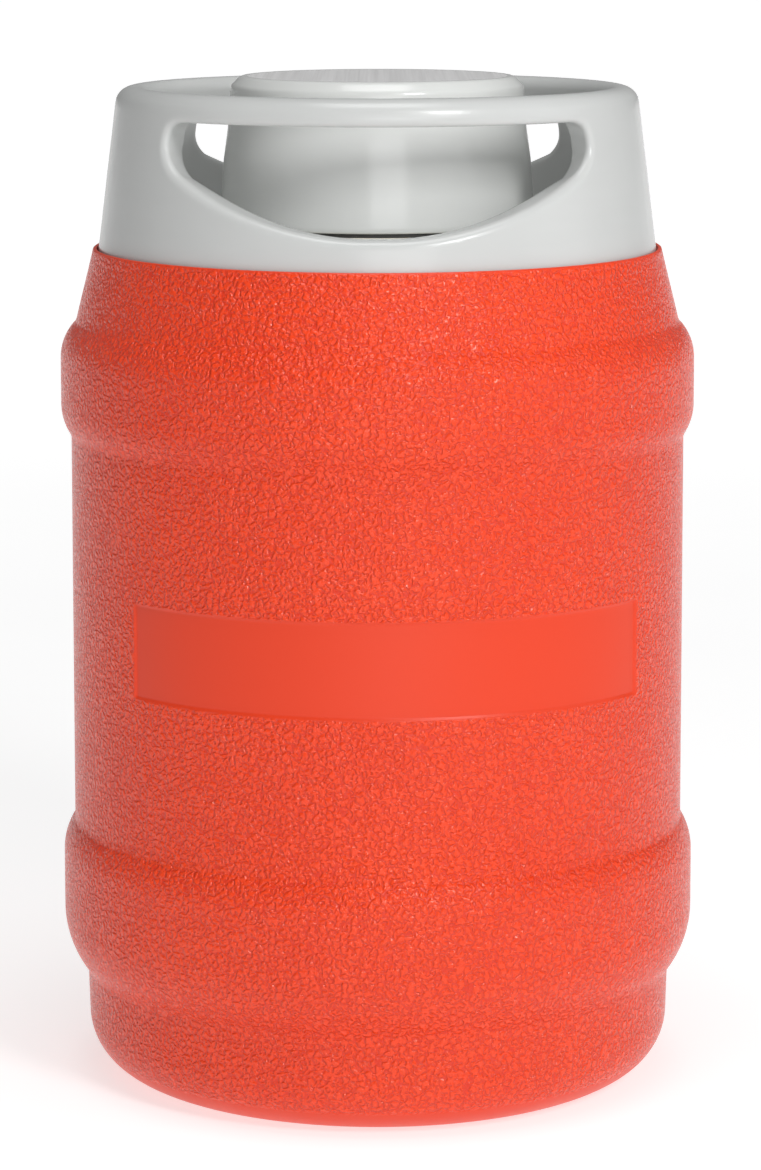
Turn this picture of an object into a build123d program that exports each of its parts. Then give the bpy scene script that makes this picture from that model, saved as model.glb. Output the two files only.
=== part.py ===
from build123d import *
import math
import os

os.makedirs("parts", exist_ok=True)

# ---------------------------------------------------------------- dimensions
# All lengths in millimetres. +Z is up, the origin is the centre of the base.

# barrel
foot_in_r = 60.0            # inner edge of the standing ring
foot_out_r = 67.0           # outer edge of the standing ring
base_r = 83.3               # wall just above the foot fillet
base_fillet = 16.3
wall = 2.5                  # moulded shell thickness
mid_r = 87.1                # straight wall between the two bands
low_band_r = 90.25
up_band_r = 89.95
low_band_z = (30.2, 47.2, 63.2, 72.7)
up_band_z = (183.2, 192.2, 205.2, 215.2)
taper_r = 85.7              # where the upper band meets the taper
lip_r = 80.6                # outer edge of the shell's lip
lip_z = 236.2
label_z = (117.0, 143.3)
label_half_angle = 52.2
label_centre = -87.6        # panel centre, turned a little from the windows
label_depth = 0.7
fill_hole_r = 7.0

# liner
liner_r = 64.4              # inside radius of the vessel
liner_wall = 1.8
liner_z = 23.2              # inside floor
liner_straight_z = 207.2
neck_in_r = 36.4
neck_out_r = 38.2
neck_top_z = 237.2

# collar
collar_low_r = 79.2
collar_low_z = 234.4
collar_top_r = 73.9
collar_top_z = 277.0
rim_z = 281.7
rim_in_r = 65.0
well_r = 69.7
deck_z = 239.8
deck_t = 2.4
deck_hole_r = 41.0
skirt_out_r = 77.6
skirt_in_r = 75.3
skirt_z = 225.2
window_end_angle = 50.4
window_top_z = 274.2
# floor of the grip window: angle from the centre, height
window_floor = [(0, 244.4), (10, 245.0), (17, 246.3), (25, 249.0), (34, 253.2), (41, 256.6), (46.5, 260.5)]

# neck insert and closure threads
insert_in_r = 34.0
insert_out_r = 38.0
insert_top_z = 259.2
flange_r = 45.2
flange_z = (240.6, 242.2)
lead = 6.0                  # thread rise per turn
seg_arc = 36.0              # arc of one interrupted thread segment
seg_step = 45.0             # angle between segment starts

# drinking cup
cup_rim_z = 243.3
cup_top_z = 284.5
cup_wall = 2.3

# stopper
stop_z = 227.2
stop_r = 31.6
stop_flange_r = 37.6
stop_flange_z = (260.8, 262.6)
grip_r = 30.0
stop_top_z = 271.0
button_well_r = 13.4
button_floor_z = (257.2, 259.2)
stem_r = 3.0
stem_bore_r = 3.06
flow_out_r = 9.6
flow_in_r = 7.6


def meridian(angle):
    """Plane through the Z axis at the given angle, local x radial, local y up."""
    a = math.radians(angle)
    return Plane(origin=(0, 0, 0), x_dir=(math.cos(a), math.sin(a), 0), z_dir=(math.sin(a), -math.cos(a), 0))


def thread_segments(z_start, count, r_root, r_tip, first_angle=0.0):
    """Interrupted single-start thread: short ring segments that climb with the lead."""
    for i in range(count):
        a = first_angle + i * seg_step
        z = z_start + lead * i * seg_step / 360.0
        with BuildSketch(meridian(a)) as ridge:
            with BuildLine():
                Polyline((r_root, z - 1.1), (r_tip, z - 0.55), (r_tip, z + 0.55), (r_root, z + 1.1), close=True)
            make_face()
        revolve(ridge.sketch, axis=Axis.Z, revolution_arc=seg_arc)


def shell_inner_path():
    """Inside face of the outer shell from the base centre up to the skirt ledge."""
    Line((fill_hole_r, 7.5), (56.5, 7.5))
    Line((56.5, 7.5), (60.5, wall))
    Line((60.5, wall), (foot_out_r, wall))
    TangentArc((foot_out_r, wall), (base_r - wall, base_fillet), tangent=(1, 0))
    Line((base_r - wall, base_fillet), (base_r - wall + 0.4, 31.2))
    Line((base_r - wall + 0.4, 31.2), (low_band_r - wall, 47.7))
    Line((low_band_r - wall, 47.7), (low_band_r - wall, 62.7))
    Line((low_band_r - wall, 62.7), (mid_r - wall, 72.2))
    Line((mid_r - wall, 72.2), (mid_r - wall, 183.7))
    Line((mid_r - wall, 183.7), (up_band_r - wall, 192.7))
    Line((up_band_r - wall, 192.7), (up_band_r - wall, 204.7))
    Line((up_band_r - wall, 204.7), (taper_r - wall - 0.1, 214.7))
    Line((taper_r - wall - 0.1, 214.7), (80.4, skirt_z - 0.6))


def liner_outer_path():
    """Outside face of the liner from the floor centre up to the neck."""
    Line((0, liner_z - liner_wall), (56, liner_z - liner_wall))
    TangentArc((56, liner_z - liner_wall), (liner_r + liner_wall, liner_z + 8.4), tangent=(1, 0))
    Line((liner_r + liner_wall, liner_z + 8.4), (liner_r + liner_wall, liner_straight_z))
    ThreePointArc((liner_r + liner_wall, liner_straight_z), (60.8, 220.4), (47.5, 227.2))
    Line((47.5, 227.2), (neck_out_r, 229.6))


# ---------------------------------------------------------------- barrel
with BuildPart() as outer_shell:
    with BuildSketch(Plane.XZ):
        with BuildLine():
            Line((fill_hole_r, 5.0), (56.0, 5.0))
            Line((56.0, 5.0), (foot_in_r, 0))
            Line((foot_in_r, 0), (foot_out_r, 0))
            TangentArc((foot_out_r, 0), (base_r, base_fillet), tangent=(1, 0))
            Line((base_r, base_fillet), (base_r + 0.4, low_band_z[0] - 0.8))
            Line((base_r + 0.4, low_band_z[0] - 0.8), (base_r + 1.1, low_band_z[0]))
            TangentArc((low_band_r, low_band_z[1]), (base_r + 1.1, low_band_z[0]), tangent=(0, -1))
            Line((low_band_r, low_band_z[1]), (low_band_r, low_band_z[2]))
            TangentArc((low_band_r, low_band_z[2]), (mid_r, low_band_z[3]), tangent=(0, 1))
            Line((mid_r, low_band_z[3]), (mid_r, up_band_z[0]))
            TangentArc((up_band_r, up_band_z[1]), (mid_r, up_band_z[0]), tangent=(0, -1))
            Line((up_band_r, up_band_z[1]), (up_band_r, up_band_z[2]))
            TangentArc((up_band_r, up_band_z[2]), (taper_r, up_band_z[3]), tangent=(0, 1))
            Line((taper_r, up_band_z[3]), (lip_r, lip_z - 0.5))
            Line((lip_r, lip_z - 0.5), (lip_r - 0.45, lip_z))
            Line((lip_r - 0.45, lip_z), (79.5, lip_z))
            Line((79.5, lip_z), (79.5, 234.3))
            Line((79.5, 234.3), (skirt_out_r + 0.1, 234.3))
            Line((skirt_out_r + 0.1, 234.3), (skirt_out_r + 0.1, skirt_z + 1.0))
            Line((skirt_out_r + 0.1, skirt_z + 1.0), (80.4, skirt_z - 0.6))
            shell_inner_path()
            Line((fill_hole_r, 7.5), (fill_hole_r, 5.0))
        make_face()
    revolve(axis=Axis.Z)
    # shallow wrap-around panel on the front
    with BuildSketch(meridian(label_centre - label_half_angle)):
        with BuildLine():
            Polyline((mid_r - label_depth, label_z[0]), (mid_r + 3, label_z[0]), (mid_r + 3, label_z[1]),
                     (mid_r - label_depth, label_z[1]), close=True)
        make_face()
    revolve(axis=Axis.Z, revolution_arc=2 * label_half_angle, mode=Mode.SUBTRACT)
outer_shell.part.label = "outer_shell"
export_step(outer_shell.part, "parts/outer_shell.step")

with BuildPart() as foam_fill_plug:
    with BuildSketch(Plane.XY.offset(3.4)):
        Circle(10.0)
    extrude(amount=1.6)
    with BuildSketch(Plane.XY.offset(5.0)):
        Circle(fill_hole_r)
    extrude(amount=2.5)
    fillet(foam_fill_plug.edges().filter_by(GeomType.CIRCLE).sort_by(Axis.Z)[0], 0.8)
foam_fill_plug.part.label = "foam_fill_plug"
export_step(foam_fill_plug.part, "parts/foam_fill_plug.step")

with BuildPart() as insulation_foam:
    with BuildSketch(Plane.XZ):
        with BuildLine():
            Line((0, 7.5), (fill_hole_r, 7.5))
            shell_inner_path()
            Line((80.4, skirt_z - 0.6), (74.9, skirt_z - 0.6))
            Line((74.9, skirt_z - 0.6), (74.9, 235.2))
            Line((74.9, 235.2), (neck_out_r, 235.2))
            Line((neck_out_r, 235.2), (neck_out_r, 229.6))
            liner_outer_path()
            Line((0, liner_z - liner_wall), (0, 7.5))
        make_face()
    revolve(axis=Axis.Z)
insulation_foam.part.label = "insulation_foam"
export_step(insulation_foam.part, "parts/insulation_foam.step")

with BuildPart() as inner_liner:
    with BuildSketch(Plane.XZ):
        with BuildLine():
            liner_outer_path()
            Line((neck_out_r, 229.6), (neck_out_r, neck_top_z))
            Line((neck_out_r, neck_top_z), (neck_in_r, neck_top_z))
            Line((neck_in_r, neck_top_z), (neck_in_r, 228.2))
            Line((neck_in_r, 228.2), (47.0, 225.4))
            ThreePointArc((47.0, 225.4), (59.3, 219.1), (liner_r, liner_straight_z))
            Line((liner_r, liner_straight_z), (liner_r, liner_z + 8.4))
            TangentArc((56, liner_z), (liner_r, liner_z + 8.4), tangent=(1, 0))
            Line((56, liner_z), (0, liner_z))
            Line((0, liner_z), (0, liner_z - liner_wall))
        make_face()
    revolve(axis=Axis.Z)
inner_liner.part.label = "inner_liner"
export_step(inner_liner.part, "parts/inner_liner.step")

# ---------------------------------------------------------------- handle collar
with BuildPart() as handle_collar:
    with BuildSketch(Plane.XZ):
        with BuildLine():
            Line((skirt_out_r, skirt_z), (skirt_out_r, collar_low_z))
            Line((skirt_out_r, collar_low_z), (collar_low_r, collar_low_z))
            Line((collar_low_r, collar_low_z), (collar_top_r, collar_top_z))
            ThreePointArc((collar_top_r, collar_top_z), (71.95, 280.4), (68.3, rim_z))
            ThreePointArc((68.3, rim_z), (65.95, 280.65), (rim_in_r, 278.4))
            Line((rim_in_r, 278.4), (well_r - 0.25, deck_z + 2.6))
            ThreePointArc((well_r - 0.25, deck_z + 2.6), (68.9, deck_z + 0.7), (67.0, deck_z))
            Line((67.0, deck_z), (deck_hole_r, deck_z))
            Line((deck_hole_r, deck_z), (deck_hole_r, deck_z - deck_t))
            Line((deck_hole_r, deck_z - deck_t), (skirt_in_r, deck_z - deck_t))
            Line((skirt_in_r, deck_z - deck_t), (skirt_in_r, skirt_z))
            Line((skirt_in_r, skirt_z), (skirt_out_r, skirt_z))
        make_face()
    revolve(axis=Axis.Z)
    # cored pockets in the two side pillars, open at the bottom
    for side in (0.0, 180.0):
        with BuildSketch(meridian(side - 33.0)):
            with BuildLine():
                Polyline((72.3, 237.2), (75.2, 237.2), (75.6, 241.2), (71.9, 270.2), (68.8, 270.2), close=True)
            make_face()
        revolve(axis=Axis.Z, revolution_arc=66.0, mode=Mode.SUBTRACT)
    # grip windows, radial tunnels front and rear
    for facing in (-1, 1):
        for y in (120.0, 30.0):
            with BuildSketch(Plane(origin=(0, facing * y, 0), x_dir=(1, 0, 0), z_dir=(0, -1, 0))):
                half = [(y * math.tan(math.radians(a)), z) for a, z in window_floor]
                left = [(-x, z) for x, z in reversed(half[1:])]
                e = y * math.tan(math.radians(window_end_angle))
                t = y * math.tan(math.radians(46.0))
                with BuildLine():
                    Spline(*(left + half))
                    Spline(half[-1], (y * math.tan(math.radians(49.6)), 264.4), (e, 268.2))
                    Spline((e, 268.2), (y * math.tan(math.radians(49.3)), 272.4), (t, window_top_z))
                    Line((t, window_top_z), (-t, window_top_z))
                    Spline((-t, window_top_z), (-y * math.tan(math.radians(49.3)), 272.4), (-e, 268.2))
                    Spline((-e, 268.2), (-y * math.tan(math.radians(49.6)), 264.4), left[0])
                make_face()
        loft(ruled=True, mode=Mode.SUBTRACT)
handle_collar.part.label = "handle_collar"
export_step(handle_collar.part, "parts/handle_collar.step")

with BuildPart() as neck_gasket:
    with BuildSketch(Plane.XY.offset(deck_z)):
        Circle(44.6)
        Circle(39.0, mode=Mode.SUBTRACT)
    extrude(amount=flange_z[0] - deck_z)
neck_gasket.part.label = "neck_gasket"
export_step(neck_gasket.part, "parts/neck_gasket.step")

with BuildPart() as neck_insert:
    with BuildSketch(Plane.XZ):
        with BuildLine():
            Polyline((insert_in_r, 229.2), (neck_in_r - 0.1, 229.2), (neck_in_r - 0.1, neck_top_z + 0.05),
                     (38.9, neck_top_z + 0.05), (38.9, flange_z[0]), (flange_r, flange_z[0]),
                     (flange_r, flange_z[1] - 0.4), (flange_r - 0.4, flange_z[1]), (insert_out_r, flange_z[1]),
                     (insert_out_r, insert_top_z), (insert_in_r, insert_top_z), close=True)
        make_face()
    revolve(axis=Axis.Z)
    thread_segments(247.8, 9, insert_out_r - 0.3, 40.2)          # outside, for the cup
    thread_segments(247.2, 9, insert_in_r + 0.3, 32.5)           # inside, for the stopper
neck_insert.part.label = "neck_insert"
export_step(neck_insert.part, "parts/neck_insert.step")

# ---------------------------------------------------------------- drinking cup
with BuildPart() as cup_seal:
    with BuildSketch(Plane.XZ):
        with BuildLine():
            Polyline((38.3, flange_z[1] + 0.03), (43.3, flange_z[1] + 0.03), (43.3, cup_rim_z - 0.05),
                     (38.3, cup_rim_z - 0.05), close=True)
        make_face()
    revolve(axis=Axis.Z)
cup_seal.part.label = "cup_seal"
export_step(cup_seal.part, "parts/cup_seal.step")

with BuildPart() as drinking_cup:
    with BuildSketch(Plane.XZ):
        with BuildLine():
            Line((42.4, cup_rim_z), (43.9, cup_rim_z))
            ThreePointArc((43.9, cup_rim_z), (44.32, cup_rim_z + 0.18), (44.5, cup_rim_z + 0.6))
            Spline((44.5, cup_rim_z + 0.6), (44.2, 249.2), (43.4, 261.2), (42.35, 269.2), (41.3, 281.9))
            Line((41.3, 281.9), (38.7, cup_top_z))
            Line((38.7, cup_top_z), (0, cup_top_z))
            Line((0, cup_top_z), (0, cup_top_z - cup_wall))
            Line((0, cup_top_z - cup_wall), (37.6, cup_top_z - cup_wall))
            Line((37.6, cup_top_z - cup_wall), (39.0, 280.4))
            Spline((39.0, 280.4), (40.0, 269.2), (41.0, 261.2), (41.9, 249.2), (42.2, cup_rim_z + 0.5))
            Line((42.2, cup_rim_z + 0.5), (42.4, cup_rim_z))
        make_face()
    revolve(axis=Axis.Z)
    thread_segments(244.8, 9, 42.3, 39.2)
drinking_cup.part.label = "drinking_cup"
export_step(drinking_cup.part, "parts/drinking_cup.step")

# ---------------------------------------------------------------- stopper
with BuildPart() as stopper_gasket:
    with BuildSketch(Plane.XY.offset(insert_top_z + 0.05)):
        Circle(37.4)
        Circle(33.4, mode=Mode.SUBTRACT)
    extrude(amount=1.5)
stopper_gasket.part.label = "stopper_gasket"
export_step(stopper_gasket.part, "parts/stopper_gasket.step")

# pour channel: out of the flow tube, up beside the button well, out through the grip wall
pour_in_r = 2.2
pour_out_r = 3.0
pour_low_z = 251.2
pour_high_z = 265.7
with BuildLine() as pour_route:
    FilletPolyline((0, -flow_in_r - 0.4, pour_low_z), (0, -22.0, pour_low_z), (0, -22.0, pour_high_z),
                   (0, -grip_r - 1.0, pour_high_z), radius=4.5)
pour_plane = Plane(origin=(0, -flow_in_r - 0.4, pour_low_z), x_dir=(1, 0, 0), z_dir=(0, -1, 0))

with BuildPart() as stopper_housing:
    with BuildSketch(Plane.XZ):
        with BuildLine():
            Polyline((stop_r - 2.0, stop_z), (stop_r, stop_z), (stop_r, stop_flange_z[0]), (stop_flange_r, stop_flange_z[0]),
                     (stop_flange_r, stop_flange_z[1]), (grip_r, stop_flange_z[1]), (grip_r, stop_top_z - 1.2),
                     (grip_r - 1.2, stop_top_z), (button_well_r, stop_top_z), (button_well_r, button_floor_z[1]),
                     (stem_bore_r, button_floor_z[1]), (stem_bore_r, 258.4), (5.0, 258.4), (5.0, button_floor_z[0]),
                     (button_well_r + 2, button_floor_z[0]),
                     (button_well_r + 2, stop_top_z - 2.2), (grip_r - 2.0, stop_top_z - 2.2), (grip_r - 2.0, stop_flange_z[0]),
                     (stop_r - 2.0, stop_flange_z[0]), close=True)
        make_face()
    revolve(axis=Axis.Z)
    thread_segments(244.2, 9, stop_r - 0.4, 33.3)
    # finger scallops round the grip
    with BuildSketch(Plane.XY.offset(stop_flange_z[1] + 1.0)):
        with PolarLocations(grip_r + 3.6, 12, start_angle=15.0):
            Circle(4.6)
    extrude(amount=10, mode=Mode.SUBTRACT)
    # pour outlet through the grip wall
    with BuildSketch(pour_plane):
        Circle(pour_out_r)
    sweep(path=pour_route.line, mode=Mode.SUBTRACT)
stopper_housing.part.label = "stopper_housing"
export_step(stopper_housing.part, "parts/stopper_housing.step")

with BuildPart() as stopper_base:
    with BuildSketch(Plane.XZ):
        with BuildLine():
            Polyline((flow_in_r, stop_z), (stop_r - 2.0, stop_z), (stop_r - 2.0, stop_z + 2.4), (flow_out_r, stop_z + 2.4),
                     (flow_out_r, button_floor_z[0]), (flow_in_r, button_floor_z[0]), close=True)
        make_face()
    revolve(axis=Axis.Z)
    with BuildSketch(pour_plane.offset(-1.5)):
        Circle(pour_out_r)
    extrude(amount=6, mode=Mode.SUBTRACT)
stopper_base.part.label = "stopper_base"
export_step(stopper_base.part, "parts/stopper_base.step")

with BuildPart() as pour_tube:
    with BuildSketch(pour_plane):
        Circle(pour_out_r)
        Circle(pour_in_r, mode=Mode.SUBTRACT)
    sweep(path=pour_route.line)
    # trimmed flush with the flow tube bore and the grip wall
    with BuildSketch(Plane.XY.offset(241.2)):
        Circle(flow_in_r)
    extrude(amount=16, mode=Mode.SUBTRACT)
    with BuildSketch(Plane.XY.offset(241.2)):
        Circle(80.0)
        Circle(grip_r - 0.1, mode=Mode.SUBTRACT)
    extrude(amount=40, mode=Mode.SUBTRACT)
pour_tube.part.label = "pour_tube"
export_step(pour_tube.part, "parts/pour_tube.step")

with BuildPart() as stopper_foam:
    with BuildSketch(Plane.XZ):
        with BuildLine():
            Polyline((flow_out_r, stop_z + 2.4), (stop_r - 2.0, stop_z + 2.4), (stop_r - 2.0, stop_flange_z[0]),
                     (grip_r - 2.0, stop_flange_z[0]), (grip_r - 2.0, stop_top_z - 2.2), (button_well_r + 2, stop_top_z - 2.2),
                     (button_well_r + 2, button_floor_z[0]), (flow_out_r, button_floor_z[0]), close=True)
        make_face()
    revolve(axis=Axis.Z)
    with BuildSketch(pour_plane):
        Circle(pour_out_r)
    sweep(path=pour_route.line, mode=Mode.SUBTRACT)
stopper_foam.part.label = "stopper_foam"
export_step(stopper_foam.part, "parts/stopper_foam.step")

# ---------------------------------------------------------------- pour valve
with BuildPart() as pour_button:
    with BuildSketch(Plane.XZ):
        with BuildLine():
            Polyline((0, 267.8), (4.2, 267.8), (4.2, 265.8), (5.2, 265.8), (5.2, 267.8), (11.2, 267.8), (11.2, 264.0),
                     (button_well_r - 0.4, 264.0), (button_well_r - 0.4, 271.2), (button_well_r - 1.4, 272.2),
                     (8.0, 271.6), (0, 271.2), close=True)
        make_face()
    revolve(axis=Axis.Z)
pour_button.part.label = "pour_button"
export_step(pour_button.part, "parts/pour_button.step")

with BuildPart() as valve_stem:
    with BuildSketch(Plane.XZ):
        with BuildLine():
            Polyline((0, 232.8), (1.3, 232.8), (1.3, 224.8), (stem_r, 224.8), (stem_r, 267.3), (stem_r - 0.45, 267.75),
                     (0, 267.75), close=True)
        make_face()
    revolve(axis=Axis.Z)
valve_stem.part.label = "valve_stem"
export_step(valve_stem.part, "parts/valve_stem.step")

with BuildPart() as valve_disc:
    with BuildSketch(Plane.XZ):
        with BuildLine():
            Polyline((1.5, 223.1), (8.6, 223.1), (9.4, 223.9), (9.4, 224.78), (1.5, 224.78), close=True)
        make_face()
    revolve(axis=Axis.Z)
valve_disc.part.label = "valve_disc"
export_step(valve_disc.part, "parts/valve_disc.step")

with BuildPart() as valve_screw:
    with BuildSketch(Plane.XZ):
        with BuildLine():
            Line((0, 221.1), (1.4, 221.1))
            ThreePointArc((1.4, 221.1), (2.35, 221.6), (2.8, 222.5))
            Line((2.8, 222.5), (2.8, 223.08))
            Line((2.8, 223.08), (1.26, 223.08))
            Line((1.26, 223.08), (1.26, 231.8))
            Line((1.26, 231.8), (0, 232.6))
            Line((0, 232.6), (0, 221.1))
        make_face()
    revolve(axis=Axis.Z)
    # cross recess
    with BuildSketch(Plane.XY.offset(221.1)):
        Rectangle(2.6, 0.6)
        Rectangle(0.6, 2.6)
    extrude(amount=1.0, mode=Mode.SUBTRACT)
valve_screw.part.label = "valve_screw"
export_step(valve_screw.part, "parts/valve_screw.step")

with BuildPart() as stem_seal:
    with BuildSketch(Plane.XY.offset(button_floor_z[0])):
        Circle(4.95)
        Circle(stem_bore_r, mode=Mode.SUBTRACT)
    extrude(amount=1.15)
stem_seal.part.label = "stem_seal"
export_step(stem_seal.part, "parts/stem_seal.step")

with BuildPart() as valve_seal:
    with BuildSketch(Plane.XZ):
        with BuildLine():
            Polyline((stem_r, 224.8), (9.6, 224.8), (9.6, 226.4), (9.0, 227.15), (8.2, 227.15), (7.6, 226.4), (stem_r, 226.4),
                     close=True)
        make_face()
    revolve(axis=Axis.Z)
valve_seal.part.label = "valve_seal"
export_step(valve_seal.part, "parts/valve_seal.step")

with BuildPart() as button_spring:
    with BuildLine() as coil:
        Helix(pitch=2.1, height=7.2, radius=8.2, center=(0, 0, button_floor_z[1] + 0.6))
    with BuildSketch(Plane(origin=coil.line @ 0, z_dir=coil.line % 0)):
        Circle(0.5)
    sweep(path=coil.line, is_frenet=True)
button_spring.part.label = "button_spring"
export_step(button_spring.part, "parts/button_spring.step")
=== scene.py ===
import bpy
import bmesh
import math
import numpy as np
from mathutils import Matrix, Vector


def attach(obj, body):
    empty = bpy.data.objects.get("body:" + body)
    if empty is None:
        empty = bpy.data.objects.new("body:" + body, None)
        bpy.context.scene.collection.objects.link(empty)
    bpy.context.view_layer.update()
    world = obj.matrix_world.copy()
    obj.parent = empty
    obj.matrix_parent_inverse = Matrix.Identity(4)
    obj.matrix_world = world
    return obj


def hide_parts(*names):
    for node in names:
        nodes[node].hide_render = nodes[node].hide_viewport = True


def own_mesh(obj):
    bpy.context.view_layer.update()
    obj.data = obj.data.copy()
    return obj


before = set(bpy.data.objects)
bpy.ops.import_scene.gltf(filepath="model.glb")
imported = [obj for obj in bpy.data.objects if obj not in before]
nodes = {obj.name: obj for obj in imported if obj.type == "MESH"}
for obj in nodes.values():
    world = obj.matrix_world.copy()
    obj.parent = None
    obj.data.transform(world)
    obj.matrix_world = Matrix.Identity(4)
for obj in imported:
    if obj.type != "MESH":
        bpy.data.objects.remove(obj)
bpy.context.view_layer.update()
scene = bpy.context.scene
MM = 0.001

# ------------------------------------------------------------------ camera
CAM = dict(D=1.15200, zc=0.341168, p=0.1253156, w=0.000760, ro=-0.000656, f=4073.11, cx=380.5, cy=386.0)


def make_camera():
    cw, sw = math.cos(CAM["w"]), math.sin(CAM["w"])
    cp, sp = math.cos(CAM["p"]), math.sin(CAM["p"])
    fwd = Vector((sw * cp, cw * cp, -sp))
    right = Vector((cw, -sw, 0.0))
    up = right.cross(fwd)
    cr, sr = math.cos(CAM["ro"]), math.sin(CAM["ro"])
    r2 = cr * right + sr * up
    u2 = -sr * right + cr * up
    m = Matrix((
        (r2.x, u2.x, -fwd.x, 0.0),
        (r2.y, u2.y, -fwd.y, -CAM["D"]),
        (r2.z, u2.z, -fwd.z, CAM["zc"]),
        (0, 0, 0, 1)))
    data = bpy.data.cameras.new("camera")
    data.sensor_width = 36.0
    data.sensor_fit = "AUTO"
    data.lens = CAM["f"] / 1170.0 * 36.0
    data.shift_x = (380.5 - CAM["cx"]) / 1170.0
    data.shift_y = (CAM["cy"] - 585.0) / 1170.0
    data.dof.use_dof = False
    data.clip_start, data.clip_end = 0.05, 200.0
    cam = bpy.data.objects.new("camera", data)
    scene.collection.objects.link(cam)
    cam.matrix_world = m
    scene.camera = cam


make_camera()

# ------------------------------------------------------------------ helpers


def link(obj):
    scene.collection.objects.link(obj)
    return obj


def mesh_object(name, verts, faces, smooth=True, sharp_deg=None):
    me = bpy.data.meshes.new(name)
    me.from_pydata([tuple(v) for v in verts], [], [tuple(f) for f in faces])
    me.validate()
    bm = bmesh.new()
    bm.from_mesh(me)
    bmesh.ops.recalc_face_normals(bm, faces=bm.faces)
    bm.to_mesh(me)
    bm.free()
    if smooth:
        me.shade_smooth()
        if sharp_deg:
            me.set_sharp_from_angle(angle=math.radians(sharp_deg))
    me.update()
    return link(bpy.data.objects.new(name, me))


def arc_tangent(p0, p1, tan, n=10):
    """Points of the arc from p0 to p1 that leaves p0 along tan."""
    p0, p1 = np.array(p0, float), np.array(p1, float)
    t = np.array(tan, float)
    t /= np.linalg.norm(t)
    nrm = np.array([-t[1], t[0]])
    d = p1 - p0
    k = d @ d / (2 * (d @ nrm))
    c = p0 + nrm * k
    a0 = math.atan2(*(p0 - c)[::-1])
    a1 = math.atan2(*(p1 - c)[::-1])
    da = (a1 - a0 + math.pi) % (2 * math.pi) - math.pi
    return [tuple(c + abs(k) * np.array([math.cos(a0 + da * s), math.sin(a0 + da * s)])) for s in np.linspace(0, 1, n)]


def round_corners(pts, radii, n=5):
    """Closed polygon with its corners rounded."""
    pts = [np.array(p, float) for p in pts]
    out = []
    m = len(pts)
    for i in range(m):
        p, a, b = pts[i], pts[i - 1], pts[(i + 1) % m]
        r = radii[i] if isinstance(radii, (list, tuple)) else radii
        if r <= 0 or p[0] < 1e-6:
            out.append(tuple(p))
            continue
        u, v = a - p, b - p
        lu, lv = np.linalg.norm(u), np.linalg.norm(v)
        u, v = u / lu, v / lv
        cosang = float(np.clip(u @ v, -1, 1))
        half = math.acos(cosang) / 2
        if abs(half - math.pi / 2) < 0.02:
            out.append(tuple(p))
            continue
        t = min(r / math.tan(half), 0.45 * lu, 0.45 * lv)
        r2 = t * math.tan(half)
        c = p + (u + v) / np.linalg.norm(u + v) * (r2 / math.sin(half))
        s0, s1 = p + u * t - c, p + v * t - c
        a0, a1 = math.atan2(s0[1], s0[0]), math.atan2(s1[1], s1[0])
        da = (a1 - a0 + math.pi) % (2 * math.pi) - math.pi
        for s in np.linspace(0, 1, n):
            out.append((c[0] + r2 * math.cos(a0 + da * s), c[1] + r2 * math.sin(a0 + da * s)))
    return out


def densify(pts, step, closed=True):
    out = []
    m = len(pts)
    for i in range(m if closed else m - 1):
        p, q = np.array(pts[i]), np.array(pts[(i + 1) % m])
        k = max(1, int(math.ceil(np.linalg.norm(q - p) / step)))
        for j in range(k):
            out.append(tuple(p + (q - p) * j / k))
    if not closed:
        out.append(tuple(pts[-1]))
    return out


def lathe(name, profile, thetas, radial=None, sharp_deg=None):
    """Closed solid of revolution from a closed (r, z) loop in mm. Loop points on the axis become one vertex.
    radial(theta, r, z) gives the radius to use."""
    verts, faces, ring = [], [], []
    nt = len(thetas)
    for r, z in profile:
        if r < 1e-5:
            ring.append([len(verts)] * nt)
            verts.append((0, 0, z * MM))
            continue
        row = []
        for t in thetas:
            rr = radial(t, r, z) if radial else r
            row.append(len(verts))
            verts.append((rr * math.cos(t) * MM, rr * math.sin(t) * MM, z * MM))
        ring.append(row)
    m = len(profile)
    for i in range(m):
        a, b = ring[i], ring[(i + 1) % m]
        for j in range(nt):
            k = (j + 1) % nt
            f = [a[j], a[k], b[k], b[j]]
            g = []
            for v in f:
                if v not in g:
                    g.append(v)
            if len(g) >= 3:
                faces.append(g)
    return mesh_object(name, verts, faces, True, sharp_deg)


def even(n, start=0.0):
    return [start + 2 * math.pi * i / n for i in range(n)]


# ------------------------------------------------------------------ node helpers


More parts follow.
